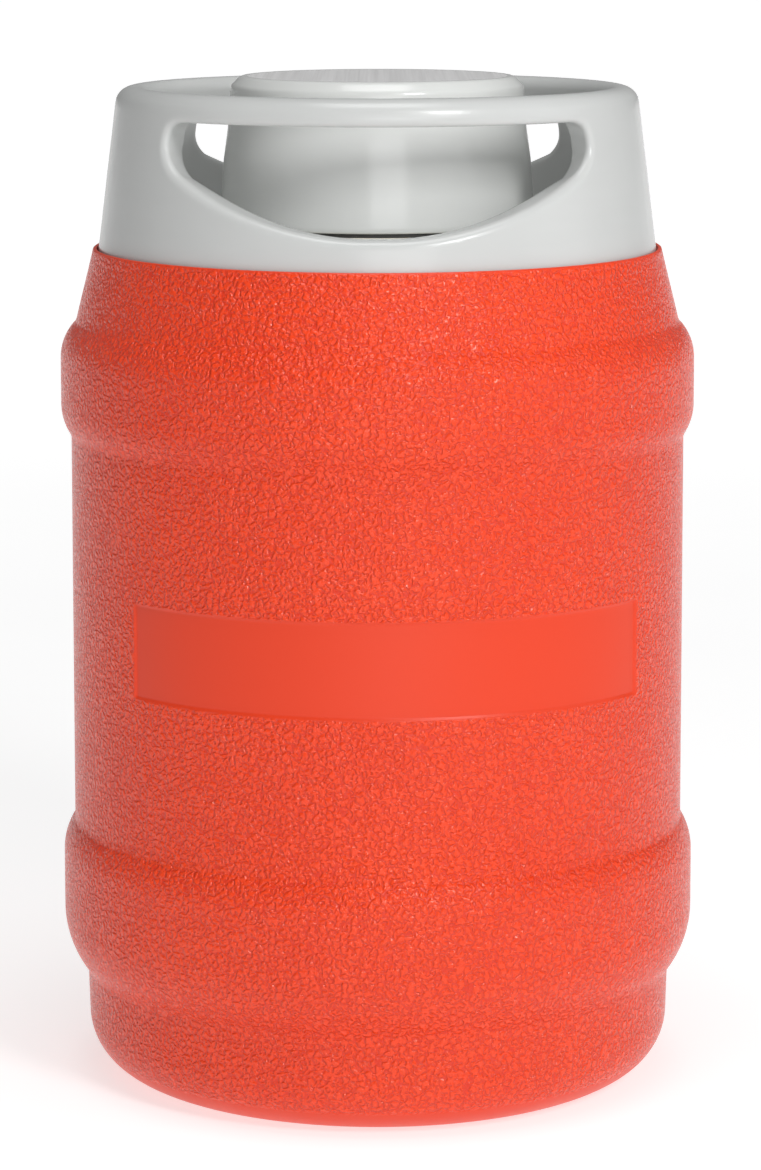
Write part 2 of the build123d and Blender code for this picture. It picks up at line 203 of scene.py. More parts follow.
class Nodes:
    def __init__(self, name):
        self.mat = bpy.data.materials.new(name)
        self.mat.use_nodes = True
        self.t = self.mat.node_tree
        self.t.nodes.clear()
        self.out = self.new("ShaderNodeOutputMaterial")
        self.bsdf = self.new("ShaderNodeBsdfPrincipled")
        self.t.links.new(self.bsdf.outputs["BSDF"], self.out.inputs["Surface"])
        self.co = self.new("ShaderNodeTexCoord").outputs["Object"]

    def new(self, kind, **kw):
        n = self.t.nodes.new(kind)
        for k, v in kw.items():
            setattr(n, k, v)
        return n

    def link(self, a, b):
        self.t.links.new(a, b)

    def put(self, socket, value):
        if isinstance(value, bpy.types.NodeSocket):
            self.link(value, socket)
        else:
            socket.default_value = value

    def math(self, op, a, b=0.0, c=None, clamp=False):
        n = self.new("ShaderNodeMath", operation=op)
        n.use_clamp = clamp
        self.put(n.inputs[0], a)
        self.put(n.inputs[1], b)
        if c is not None:
            self.put(n.inputs[2], c)
        return n.outputs[0]

    def mapping(self, vec, scale=(1, 1, 1), rot=(0, 0, 0), loc=(0, 0, 0)):
        n = self.new("ShaderNodeMapping")
        self.link(vec, n.inputs["Vector"])
        n.inputs["Scale"].default_value = scale
        n.inputs["Rotation"].default_value = rot
        n.inputs["Location"].default_value = loc
        return n.outputs[0]

    def noise(self, vec, scale, detail=2.0, rough=0.5, dist=0.0, color=False):
        n = self.new("ShaderNodeTexNoise")
        self.link(vec, n.inputs["Vector"])
        n.inputs["Scale"].default_value = scale
        n.inputs["Detail"].default_value = detail
        n.inputs["Roughness"].default_value = rough
        n.inputs["Distortion"].default_value = dist
        return n.outputs["Color"] if color else n.outputs["Fac"]

    def voronoi(self, vec, scale, feature="DISTANCE_TO_EDGE", rand=1.0, smooth=None):
        n = self.new("ShaderNodeTexVoronoi", feature=feature)
        self.link(vec, n.inputs["Vector"])
        n.inputs["Scale"].default_value = scale
        n.inputs["Randomness"].default_value = rand
        if smooth is not None and "Smoothness" in n.inputs:
            n.inputs["Smoothness"].default_value = smooth
        return n.outputs["Distance"]

    def ramp(self, fac, stops, interp="LINEAR"):
        n = self.new("ShaderNodeValToRGB")
        n.color_ramp.interpolation = interp
        els = n.color_ramp.elements
        while len(els) < len(stops):
            els.new(0.5)
        for e, (p, c) in zip(els, stops):
            e.position = p
            e.color = (*c, 1.0) if len(c) == 3 else c
        self.link(fac, n.inputs["Fac"])
        return n.outputs["Color"]

    def maprange(self, v, a, b, c, d, smooth=False):
        n = self.new("ShaderNodeMapRange")
        n.interpolation_type = "SMOOTHSTEP" if smooth else "LINEAR"
        n.clamp = True
        self.link(v, n.inputs["Value"])
        for k, x in zip(("From Min", "From Max", "To Min", "To Max"), (a, b, c, d)):
            n.inputs[k].default_value = x
        return n.outputs["Result"]

    def mixcol(self, fac, a, b, blend="MIX"):
        n = self.new("ShaderNodeMix", data_type="RGBA", blend_type=blend)
        self.put(n.inputs["Factor"], fac)
        self.put(n.inputs["A"], a if isinstance(a, bpy.types.NodeSocket) else (*a, 1.0))
        self.put(n.inputs["B"], b if isinstance(b, bpy.types.NodeSocket) else (*b, 1.0))
        return n.outputs["Result"]

    def bump(self, height, distance, strength=1.0, normal=None):
        n = self.new("ShaderNodeBump")
        n.inputs["Strength"].default_value = strength
        n.inputs["Distance"].default_value = distance
        self.link(height, n.inputs["Height"])
        if normal is not None:
            self.link(normal, n.inputs["Normal"])
        return n.outputs["Normal"]

    def attribute(self, name):
        n = self.new("ShaderNodeAttribute")
        n.attribute_name = name
        return n.outputs["Fac"]


# ------------------------------------------------------------------ materials


def shell_material():
    """Orange-red moulded polyethylene with a glossy pebbled grain, smooth where the grain attribute is 0."""
    n = Nodes("orange_grained_plastic")
    grain = n.attribute("grain")
    # bend the cells so that they read as a leather grain rather than as a net
    warp = n.noise(n.co, 650.0, 1.0, 0.5, color=True)
    sub = n.new("ShaderNodeVectorMath", operation="SUBTRACT")
    n.link(warp, sub.inputs[0])
    sub.inputs[1].default_value = (0.5, 0.5, 0.5)
    sc = n.new("ShaderNodeVectorMath", operation="SCALE")
    n.link(sub.outputs[0], sc.inputs[0])
    sc.inputs["Scale"].default_value = 0.0013
    add = n.new("ShaderNodeVectorMath", operation="ADD")
    n.link(n.co, add.inputs[0])
    n.link(sc.outputs[0], add.inputs[1])
    edge = n.voronoi(add.outputs[0], 520.0, rand=0.9)
    # rounded pebbles between grooves; here and there a groove fades so that two pebbles run together
    gate = n.maprange(n.noise(n.co, 1000.0, 0.0, 0.5), 0.34, 0.52, 0.25, 1.0, True)
    pebble = n.maprange(edge, 0.0, 0.36, 0.0, 1.0, True)
    groove = n.math("MULTIPLY", n.math("SUBTRACT", 1.0, pebble), gate)
    line = n.math("MULTIPLY", n.maprange(edge, 0.02, 0.13, 1.0, 0.0, True), gate)
    lumps = n.noise(n.co, 1100.0, 1.0, 0.5)
    h = n.math("SUBTRACT", n.math("MULTIPLY", lumps, 0.9), groove)
    h = n.math("MULTIPLY", h, grain)
    peel = n.noise(n.co, 160.0, 3.0, 0.55)
    b1 = n.bump(peel, 0.00012, 0.3)
    b2 = n.bump(h, 0.00038, 1.0, b1)
    n.link(b2, n.bsdf.inputs["Normal"])
    # colour: painted shade darkens the groove lines; a little cloudy over the whole moulding
    cloud = n.noise(n.co, 22.0, 3.0, 0.6)
    base = n.ramp(cloud, [(0.3, (0.85, 0.053, 0.009)), (0.7, (0.89, 0.061, 0.011))])
    base = n.mixcol(n.maprange(grain, 0.0, 1.0, 1.0, 0.0), base, (0.75, 0.045, 0.008))
    # painted shade: the groove lines are darkened as if shadowed, since the bump itself casts no shade
    groove_shade = n.math("MULTIPLY", line, grain)
    col = n.mixcol(n.math("MULTIPLY", groove_shade, 0.85), base, (0.66, 0.027, 0.006))
    n.link(col, n.bsdf.inputs["Base Color"])
    r = n.maprange(n.noise(n.co, 70.0, 3.0, 0.6), 0.3, 0.7, 0.17, 0.22)
    r = n.math("ADD", r, n.maprange(grain, 0.0, 1.0, 0.20, 0.0))
    r = n.math("ADD", r, n.math("MULTIPLY", groove_shade, 0.15))
    n.link(r, n.bsdf.inputs["Roughness"])
    n.bsdf.inputs["IOR"].default_value = 1.5
    n.bsdf.inputs["Specular IOR Level"].default_value = 0.42
    return n.mat


def smooth_plastic(name, col, rough=(0.23, 0.27), peel=0.35, vary=0.012, peel_scale=120.0):
    """Moulded semi-gloss plastic: faint cloudiness, flow marks and fine surface waviness."""
    n = Nodes(name)
    cloud = n.noise(n.co, 26.0, 3.0, 0.6)
    lo = tuple(c * (1 - vary) for c in col)
    hi = tuple(min(1.0, c * (1 + vary)) for c in col)
    base = n.ramp(cloud, [(0.3, lo), (0.7, hi)])
    # faint flow marks round the moulding, and a little unevenness in the gloss
    flow = n.noise(n.mapping(n.co, (35.0, 35.0, 260.0)), 1.0, 2.0, 0.5)
    base = n.mixcol(n.maprange(flow, 0.35, 0.65, 0.0, 0.06, True), base, tuple(c * 0.86 for c in col))
    n.link(base, n.bsdf.inputs["Base Color"])
    r = n.maprange(n.noise(n.co, 30.0, 3.0, 0.5), 0.3, 0.7, rough[0], rough[1])
    n.link(r, n.bsdf.inputs["Roughness"])
    wave = n.noise(n.co, peel_scale, 2.0, 0.5)
    fine = n.noise(n.co, 2200.0, 2.0, 0.5)
    b = n.bump(wave, 0.00006, peel)
    b = n.bump(fine, 0.000006, 0.4, b)
    n.link(b, n.bsdf.inputs["Normal"])
    n.bsdf.inputs["IOR"].default_value = 1.5
    n.bsdf.inputs["Specular IOR Level"].default_value = 0.42
    return n


def cup_material():
    """As the collar, with a duller, finely lined top face where the lined attribute is 1."""
    n = smooth_plastic("cup_grey_plastic", CUP_GREY_PAINTED_LIGHT, (0.16, 0.20))
    lined = n.attribute("lined")
    base_from = n.bsdf.inputs["Base Color"].links[0].from_socket
    rough_from = n.bsdf.inputs["Roughness"].links[0].from_socket
    norm_from = n.bsdf.inputs["Normal"].links[0].from_socket
    streak = n.noise(n.mapping(n.co, (1500.0, 9.0, 9.0)), 1.0, 3.0, 0.6)
    broad = n.noise(n.mapping(n.co, (420.0, 5.0, 5.0)), 1.0, 2.0, 0.5)
    s = n.math("ADD", n.math("MULTIPLY", streak, 0.6), n.math("MULTIPLY", broad, 0.4))
    top = n.ramp(s, [(0.35, (0.63, 0.625, 0.625)), (0.65, (0.74, 0.735, 0.735))])
    n.link(n.mixcol(lined, base_from, top), n.bsdf.inputs["Base Color"])
    mixr = n.new("ShaderNodeMix", data_type="FLOAT")
    n.link(lined, mixr.inputs["Factor"])
    n.link(rough_from, mixr.inputs["A"])
    n.link(n.maprange(s, 0.3, 0.7, 0.42, 0.58), mixr.inputs["B"])
    n.link(mixr.outputs["Result"], n.bsdf.inputs["Roughness"])
    n.link(n.bump(n.math("MULTIPLY", s, lined), 0.00012, 0.9, norm_from), n.bsdf.inputs["Normal"])
    return n.mat


def foam_material():
    n = Nodes("poured_foam")
    cells = n.voronoi(n.co, 1300.0, "F1")
    big = n.voronoi(n.co, 380.0, "F1")
    tone = n.noise(n.co, 30.0, 3.0, 0.6)
    col = n.ramp(tone, [(0.3, (0.74, 0.60, 0.33)), (0.7, (0.84, 0.72, 0.45))])
    col = n.mixcol(n.maprange(cells, 0.0, 0.5, 0.45, 0.0), col, (0.52, 0.38, 0.17))
    n.link(col, n.bsdf.inputs["Base Color"])
    h = n.math("ADD", n.math("MULTIPLY", cells, 0.7), n.math("MULTIPLY", big, 0.4))
    n.link(n.bump(h, 0.0003, 0.9), n.bsdf.inputs["Normal"])
    n.link(n.maprange(tone, 0.3, 0.7, 0.75, 0.9), n.bsdf.inputs["Roughness"])
    return n.mat


def liner_material():
    n = smooth_plastic("cream_liner_plastic", (0.80, 0.765, 0.64), (0.28, 0.4), 0.6, 0.03, 60.0)
    n.bsdf.inputs["Subsurface Weight"].default_value = 0.15
    n.bsdf.inputs["Subsurface Radius"].default_value = (0.004, 0.003, 0.002)
    n.bsdf.inputs["Subsurface Scale"].default_value = 0.5
    return n.mat


def silicone_material():
    n = Nodes("silicone")
    dust = n.noise(n.co, 700.0, 3.0, 0.7)
    tone = n.noise(n.co, 60.0, 2.0, 0.5)
    col = n.ramp(tone, [(0.3, (0.66, 0.66, 0.63)), (0.7, (0.73, 0.73, 0.70))])
    col = n.mixcol(n.maprange(dust, 0.6, 0.75, 0.0, 0.25), col, (0.85, 0.85, 0.83))
    n.link(col, n.bsdf.inputs["Base Color"])
    n.link(n.maprange(dust, 0.3, 0.7, 0.5, 0.66), n.bsdf.inputs["Roughness"])
    n.link(n.bump(dust, 0.00003, 0.6), n.bsdf.inputs["Normal"])
    n.bsdf.inputs["Subsurface Weight"].default_value = 0.1
    n.bsdf.inputs["Subsurface Radius"].default_value = (0.002, 0.002, 0.002)
    return n.mat


def seal_shade_material():
    # Near-black, used for the cup seal only: painted shade for the dark slit under the cup.
    n = Nodes("cup_seal_painted_shade")
    dust = n.noise(n.co, 600.0, 3.0, 0.7)
    col = n.ramp(dust, [(0.35, (0.030, 0.030, 0.031)), (0.7, (0.060, 0.059, 0.057))])
    n.link(col, n.bsdf.inputs["Base Color"])
    n.link(n.maprange(dust, 0.3, 0.7, 0.6, 0.8), n.bsdf.inputs["Roughness"])
    n.link(n.bump(dust, 0.00003, 0.6), n.bsdf.inputs["Normal"])
    return n.mat


def steel_material():
    n = Nodes("stainless_steel")
    n.bsdf.inputs["Metallic"].default_value = 1.0
    draw = n.noise(n.mapping(n.co, (400.0, 400.0, 4000.0)), 1.0, 3.0, 0.6)
    col = n.ramp(draw, [(0.3, (0.52, 0.52, 0.51)), (0.7, (0.66, 0.66, 0.65))])
    n.link(col, n.bsdf.inputs["Base Color"])
    n.link(n.maprange(draw, 0.3, 0.7, 0.2, 0.36), n.bsdf.inputs["Roughness"])
    n.link(n.bump(draw, 0.00001, 0.5), n.bsdf.inputs["Normal"])
    return n.mat


GREY = (0.555, 0.565, 0.557)
# painted light: the cup's grey is lighter than the collar's grey, to brighten the cup where it sits in the collar's
# shade
CUP_GREY_PAINTED_LIGHT = (0.68, 0.692, 0.676)
M_SHELL = shell_material()
M_GREY = smooth_plastic("light_grey_plastic", GREY).mat
M_CUP = cup_material()
M_STOPPER = smooth_plastic("stopper_grey_plastic", (0.56, 0.575, 0.565), (0.36, 0.46), 0.5, 0.02).mat
M_BUTTON = smooth_plastic("button_orange_plastic", (0.80, 0.062, 0.022), (0.34, 0.44), 0.5, 0.03).mat
M_PLUG = smooth_plastic("plug_orange_plastic", (0.66, 0.048, 0.017), (0.42, 0.52), 0.5, 0.03).mat
M_FOAM = foam_material()
M_LINER = liner_material()
M_SILICONE = silicone_material()
M_STEEL = steel_material()
M_SEAL_SHADE = seal_shade_material()


def assign(obj, mat):
    obj.data.materials.clear()
    obj.data.materials.append(mat)


for node, mat in {
    "insulation_foam": M_FOAM, "stopper_foam": M_FOAM, "inner_liner": M_LINER, "neck_insert": M_LINER,
    # cup_seal: near-black as painted shade for the slit under the cup
    "neck_gasket": M_SILICONE, "cup_seal": M_SEAL_SHADE, "stopper_gasket": M_SILICONE, "stem_seal": M_SILICONE,
    "valve_seal": M_SILICONE, "stopper_housing": M_STOPPER, "stopper_base": M_STOPPER, "pour_tube": M_STOPPER,
    "valve_stem": M_STOPPER, "valve_disc": M_STOPPER, "valve_screw": M_STEEL, "button_spring": M_STEEL,
    "pour_button": M_BUTTON, "foam_fill_plug": M_PLUG, "outer_shell": M_SHELL, "handle_collar": M_GREY,
    "drinking_cup": M_CUP,
}.items():
    assign(nodes[node], mat)

# ------------------------------------------------------------------ outer shell
MID_R = 87.1
LABEL_Z = (117.0, 143.3)
LABEL_HALF = math.radians(52.2)
LABEL_MID = math.radians(-87.6)
LABEL_DEPTH = 0.55


def smoothstep(x):
    x = np.clip(x, 0.0, 1.0)
    return x * x * (3 - 2 * x)


def rounded_box_sd(u, v, hu, hv, rad):
    qx, qy = np.abs(u) - (hu - rad), np.abs(v) - (hv - rad)
    return np.hypot(np.maximum(qx, 0), np.maximum(qy, 0)) + np.minimum(np.maximum(qx, qy), 0) - rad


def panel_sd(t, z):
    """Signed distance to the smooth panel's outline in the unrolled surface, mm."""
    d = (t - LABEL_MID + math.pi) % (2 * math.pi) - math.pi
    u = d * MID_R
    v = z - 0.5 * (LABEL_Z[0] + LABEL_Z[1])
    return rounded_box_sd(u, v, LABEL_HALF * MID_R, 0.5 * (LABEL_Z[1] - LABEL_Z[0]), 0.8)


def shell_profile():
    p = [(7.0, 5.0), (55.4, 5.0), (56.2, 4.7), (59.2, 0.5), (60.2, 0.0), (63.5, 0.0), (67.0, 0.0)]
    p += arc_tangent((67.0, 0.0), (83.3, 16.3), (1, 0), 18)[1:]
    p += [(83.5, 22.8), (83.68, 28.6), (83.85, 29.5), (84.35, 30.15)]
    p += arc_tangent((90.25, 47.2), (84.45, 30.3), (0, -1), 16)[::-1][1:]
    p += [(90.25, 55.2)] + arc_tangent((90.25, 63.2), (87.25, 72.45), (0, 1), 14)[:-1]
    p += [(87.3, 72.15), (87.14, 72.9), (87.1, 73.6)]
    p += [(87.1, z) for z in (80, 90, 100, 110)]
    zs = [LABEL_Z[0] + d for d in (-2.0, -1.2, -0.7)] + list(np.arange(LABEL_Z[0] - 0.4, LABEL_Z[1] + 0.5, 0.4)) + [LABEL_Z[1] + d for d in (0.8, 1.3, 2.0)]
    p += [(87.1, z) for z in zs]
    p += [(87.1, z) for z in (150, 160, 170, 178, 182.2)]
    p += [(87.13, 182.9), (87.35, 183.5)]
    p += arc_tangent((89.95, 192.2), (87.45, 183.9), (0, -1), 14)[::-1][1:]
    p += [(89.95, 198.7)] + arc_tangent((89.95, 205.2), (85.95, 214.95), (0, 1), 14)[:-1]
    p += [(86.05, 214.75), (85.6, 215.5), (85.35, 216.2)]
    p += [(84.2, 221.0), (82.95, 226.0), (81.7, 231.0), (80.75, 235.0), (80.6, 235.6)]
    p += [(80.45, 236.0), (80.15, 236.2), (79.75, 236.2), (79.5, 236.05), (79.5, 234.3), (77.7, 234.3), (77.7, 226.2)]
    # inside face, plain
    inner = [(80.4, 224.6), (83.1, 214.7), (87.4, 204.7), (87.4, 192.7), (84.6, 183.7), (84.6, 72.2), (87.7, 62.7),
             (87.7, 47.7), (81.2, 31.2), (80.8, 16.3)]
    inner += [(80.0, 11.5), (77.5, 7.0), (73.0, 3.9), (67.0, 2.5), (60.5, 2.5), (56.5, 7.5), (7.0, 7.5)]
    return p, inner


def build_shell():
    outer, inner = shell_profile()
    # angles: fine across the panel and a little past its ends, coarse elsewhere
    half = math.degrees(LABEL_HALF)
    mid = math.degrees(LABEL_MID)
    inside = np.arange(-half - 0.9, half + 0.9, 0.26)
    outside = np.arange(half + 1.2, 360 - half - 1.2, 1.2)
    ang = np.concatenate([inside, outside]) + mid
    th = np.radians(ang)
    loop = outer + inner
    nout = len(outer)
    R = np.array([q[0] for q in loop])
    Z = np.array([q[1] for q in loop])
    T, RR = np.meshgrid(th, R)
    _, ZZ = np.meshgrid(th, Z)
    sd = panel_sd(T, ZZ)
    on_wall = (np.arange(len(loop)) < nout)[:, None] & (np.abs(RR - MID_R) < 0.01)
    recess = smoothstep((-sd + 0.1) / 0.55) * LABEL_DEPTH
    dr = np.where(on_wall, -recess, 0.0)
    RR = RR + dr
    X, Y = RR * np.cos(T) * MM, RR * np.sin(T) * MM
    verts = np.stack([X, Y, ZZ * MM], -1).reshape(-1, 3)
    m, nt = len(loop), len(th)
    i = np.arange(m)[:, None]
    j = np.arange(nt)[None, :]
    a = i * nt + j
    b = i * nt + (j + 1) % nt
    c = ((i + 1) % m) * nt + (j + 1) % nt
    d = ((i + 1) % m) * nt + j
    faces = np.stack([a, b, c, d], -1).reshape(-1, 4)
    ob = mesh_object("barrel_skin", verts.tolist(), faces.tolist(), True, 50)
    # where the grain is: not on the panel, the lip, the underside or the inside
    g = smoothstep((sd - 0.05) / 0.5)
    side = (np.arange(len(loop)) < nout)[:, None]
    g = g * side * smoothstep((ZZ - 1.0) / 5.0) * smoothstep((236.0 - ZZ) / 0.6) * (RR > 80.2)
    at = ob.data.attributes.new("grain", "FLOAT", "POINT")
    at.data.foreach_set("value", g.reshape(-1).astype(np.float32))
    assign(ob, M_SHELL)
    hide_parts("outer_shell")
    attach(ob, "barrel")
    return ob


shell = build_shell()

# ------------------------------------------------------------------ handle collar, from a distance field

def collar_profile():
    p = [(75.3, 225.2), (77.6, 225.2), (77.6, 234.4), (78.75, 234.4), (79.12, 234.75)]
    p += [(77.9, 244.3), (76.3, 257.6), (75.0, 267.8), (73.9, 277.0)]
    # rounded rim: outer shoulder, crown, inner edge
    p += [(73.55, 278.6), (72.9, 279.7), (71.95, 280.65), (70.8, 281.3), (69.6, 281.62), (68.3, 281.7), (67.3, 281.55), (66.4, 281.15),
          (65.7, 280.45), (65.2, 279.5), (65.0, 278.4)]
    p += [(69.45, 242.4), (69.3, 241.5), (68.9, 240.8), (68.2, 240.2), (67.0, 239.8)]
    p += [(41.0, 239.8), (41.0, 237.4), (75.3, 237.4)]
    return np.array(p)


def poly_sd(px, py, poly):
    """Signed distance to a closed polygon, negative inside."""
    best = np.full(px.shape, 1e9)
    inside = np.zeros(px.shape, bool)
    n = len(poly)
    for k in range(n):
        ax, ay = poly[k]
        bx, by = poly[(k + 1) % n]
        ex, ey = bx - ax, by - ay
        wx, wy = px - ax, py - ay
        t = np.clip((wx * ex + wy * ey) / (ex * ex + ey * ey), 0, 1)
        dx, dy = wx - ex * t, wy - ey * t
        best = np.minimum(best, dx * dx + dy * dy)
        cond = (ay > py) != (by > py)
        with np.errstate(divide="ignore", invalid="ignore"):
            xi = ax + (py - ay) * ex / (ey if ey != 0 else 1e-12)
        inside ^= cond & (px < xi)
    d = np.sqrt(best)
    return np.where(inside, -d, d)


WINDOW_FLOOR = [(0, 244.4), (5, 244.55), (10, 245.0), (17, 246.3), (25, 249.0), (34, 253.2), (41, 256.6), (46.5, 260.5)]
WINDOW_INNER = [(0, 244.4), (5, 244.55), (10, 245.0), (17, 246.3), (25, 249.0), (32, 252.1), (38.5, 254.8), (42.8, 256.5), (46.7, 258.1)]


def window_outline(floor, t_end, side, corner):
    a = [x for x, _ in floor]
    z = [y for _, y in floor]
    # smooth floor curve through the stated points
    co = np.polyfit(np.array(a) / 50.0, z, 4)
    right = [(t, np.polyval(co, t / 50.0)) for t in np.linspace(0, t_end, 24)]
    zl = right[-1][1]
    # end: climbs round to the widest point, then into the top corner
    tw, zw = side
    p0, p1, p2 = np.array((t_end, zl)), np.array((tw - 0.4, zl + 0.46 * (zw - zl))), np.array((tw, zw))
    for s in np.linspace(0, 1, 12)[1:]:
        right.append(tuple((1 - s) ** 2 * p0 + 2 * s * (1 - s) * p1 + s * s * p2))
    q0, q1, q2 = np.array((tw, zw)), np.array((tw + 0.2, 274.1)), np.array((tw - corner, 274.2))
    for s in np.linspace(0, 1, 12)[1:]:
        right.append(tuple((1 - s) ** 2 * q0 + 2 * s * (1 - s) * q1 + s * s * q2))
    left = [(-x, y) for x, y in right[::-1] if x > 1e-6]
    out = np.array(left + right)
    out[:, 0] = np.radians(out[:, 0]) * R_REF
    return out


class Table:
    """Bilinear look-up of a field on a regular grid."""

    def __init__(self, x0, x1, y0, y1, step, f):
        self.x0, self.y0, self.s = x0, y0, step
        xs = np.arange(x0, x1 + step, step)
        ys = np.arange(y0, y1 + step, step)
        gx, gy = np.meshgrid(xs, ys, indexing="ij")
        self.v = f(gx, gy)
        self.nx, self.ny = self.v.shape

    def __call__(self, x, y):
        fx = np.clip((x - self.x0) / self.s, 0, self.nx - 1.001)
        fy = np.clip((y - self.y0) / self.s, 0, self.ny - 1.001)
        i, j = fx.astype(int), fy.astype(int)
        a, b = fx - i, fy - j
        v = self.v
        return (v[i, j] * (1 - a) * (1 - b) + v[i + 1, j] * a * (1 - b) + v[i, j + 1] * (1 - a) * b + v[i + 1, j + 1] * a * b)


R_REF = 75.0
_cp = collar_profile()
_wo = window_outline(WINDOW_FLOOR, 46.0, (50.5, 267.6), 5.2)
_wi = window_outline(WINDOW_INNER, 47.5, (52.5, 265.5), 4.2)
T_WALL = Table(34.0, 86.0, 218.0, 288.0, 0.125, lambda x, y: poly_sd(x, y, _cp))
T_WIN = Table(-92.0, 92.0, 218.0, 288.0, 0.25, lambda x, y: poly_sd(x, y, _wo))
T_WIN_IN = Table(-92.0, 92.0, 218.0, 288.0, 0.25, lambda x, y: poly_sd(x, y, _wi))


def collar_field(x, y, z):
    r = np.hypot(x, y)
    wall = T_WALL(r, z)
    t = np.arctan2(x, np.abs(y))           # angle from the nearest window's centre
    k = np.clip((r - 67.0) / 7.0, 0.0, 1.0)
    win = T_WIN(t * R_REF, z) * k + T_WIN_IN(t * R_REF, z) * (1 - k)
    # rounded edges where the window meets the wall: fuller outside than inside
    rad = np.clip(1.0 + (r - 67.0) * 0.15, 1.0, 2.1)
    a, b = wall + rad, -win + rad
    cut = np.minimum(np.maximum(a, b), 0) + np.hypot(np.maximum(a, 0), np.maximum(b, 0)) - rad
    return np.where((z < 238.0) | (r < 60.0), wall, cut)


def surface_net(field, lo, hi, h):
    nx, ny, nz = [int(math.ceil((hi[k] - lo[k]) / h)) + 1 for k in range(3)]
    xs = lo[0] + h * np.arange(nx)
    ys = lo[1] + h * np.arange(ny)
    zs = lo[2] + h * np.arange(nz)
    vals = np.empty((nx, ny, nz), np.float32)
    gy, gz = np.meshgrid(ys, zs, indexing="ij")
    for i, x in enumerate(xs):
        vals[i] = field(np.full_like(gy, x), gy, gz)
    s = vals < 0
    cnt = np.zeros((nx - 1, ny - 1, nz - 1), np.uint8)
    for dx in (0, 1):
        for dy in (0, 1):
            for dz in (0, 1):
                cnt += s[dx:nx - 1 + dx, dy:ny - 1 + dy, dz:nz - 1 + dz]
    mixed = (cnt > 0) & (cnt < 8)
    idx = -np.ones(mixed.shape, np.int64)
    ci, cj, ck = np.nonzero(mixed)
    idx[ci, cj, ck] = np.arange(len(ci))
    acc = np.zeros((len(ci), 3))
    num = np.zeros(len(ci))
    corners = [(0, 0, 0), (1, 0, 0), (0, 1, 0), (1, 1, 0), (0, 0, 1), (1, 0, 1), (0, 1, 1), (1, 1, 1)]
    for a in range(8):
        for b in range(a + 1, 8):
            A, B = corners[a], corners[b]
            if sum(abs(A[q] - B[q]) for q in range(3)) != 1:
                continue
            va = vals[ci + A[0], cj + A[1], ck + A[2]]
            vb = vals[ci + B[0], cj + B[1], ck + B[2]]
            m = (va < 0) != (vb < 0)
            t = np.where(m, va / np.where(m, va - vb, 1.0), 0)
            for q in range(3):
                acc[:, q] += np.where(m, A[q] + (B[q] - A[q]) * t, 0)
            num += m
    pts = acc / num[:, None]
    base = np.stack([ci, cj, ck], -1)
    verts = np.array(lo) + (base + pts) * h
    faces = []
    # one quad per grid edge that crosses the surface
    for axis in range(3):
        d = [0, 0, 0]
        d[axis] = 1
        a = s[:nx - d[0], :ny - d[1], :nz - d[2]]
        b = s[d[0]:, d[1]:, d[2]:]
        cross = a != b
        ei, ej, ek = np.nonzero(cross)
        flip = a[ei, ej, ek]
        o1, o2 = [q for q in range(3) if q != axis]
        e = np.stack([ei, ej, ek], -1)
        ok = (e[:, o1] > 0) & (e[:, o2] > 0) & (e[:, o1] < mixed.shape[o1]) & (e[:, o2] < mixed.shape[o2]) & (e[:, axis] < mixed.shape[axis])
        e, flip = e[ok], flip[ok]

        def cell(s1, s2):
            c = e.copy()
            c[:, o1] -= s1
            c[:, o2] -= s2
            return idx[c[:, 0], c[:, 1], c[:, 2]]

        q = np.stack([cell(1, 1), cell(0, 1), cell(0, 0), cell(1, 0)], -1)
        if axis == 1:
            flip = ~flip
        q[~flip] = q[~flip][:, ::-1]
        faces.append(q)
    return verts, np.concatenate(faces)


def project(field, p, steps=5, eps=0.05):
    for _ in range(steps):
        f = field(p[:, 0], p[:, 1], p[:, 2])
        g = np.empty_like(p)
        for q in range(3):
            d = np.zeros(3)
            d[q] = eps
            a, b = p + d, p - d
            g[:, q] = (field(a[:, 0], a[:, 1], a[:, 2]) - field(b[:, 0], b[:, 1], b[:, 2])) / (2 * eps)
        n2 = np.maximum((g * g).sum(1), 0.05)
        p = p - g * np.clip(f / n2, -0.5, 0.5)[:, None]
    return p


def build_collar():
    h = 0.85
    lo, hi = (-81.0, -81.0, 223.6), (81.0, 81.0, 283.2)
    v, f = surface_net(collar_field, lo, hi, h)
    v = project(collar_field, v, 4)
    # even the quads out, then pull them back onto the surface
    nb = np.zeros(len(v))
    e = np.concatenate([f[:, [0, 1]], f[:, [1, 2]], f[:, [2, 3]], f[:, [3, 0]]])
    np.add.at(nb, e[:, 0], 1)
    for _ in range(3):
        s = np.zeros_like(v)
        np.add.at(s, e[:, 0], v[e[:, 1]])
        v = v * 0.5 + 0.5 * s / nb[:, None]
        v = project(collar_field, v, 2)
    v = project(collar_field, v, 3)
    ob = mesh_object("collar_skin", (v * MM).tolist(), f.tolist(), True, None)
    assign(ob, M_GREY)
    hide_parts("handle_collar")
    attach(ob, "barrel")
    return ob


collar = build_collar()

# ------------------------------------------------------------------ cup


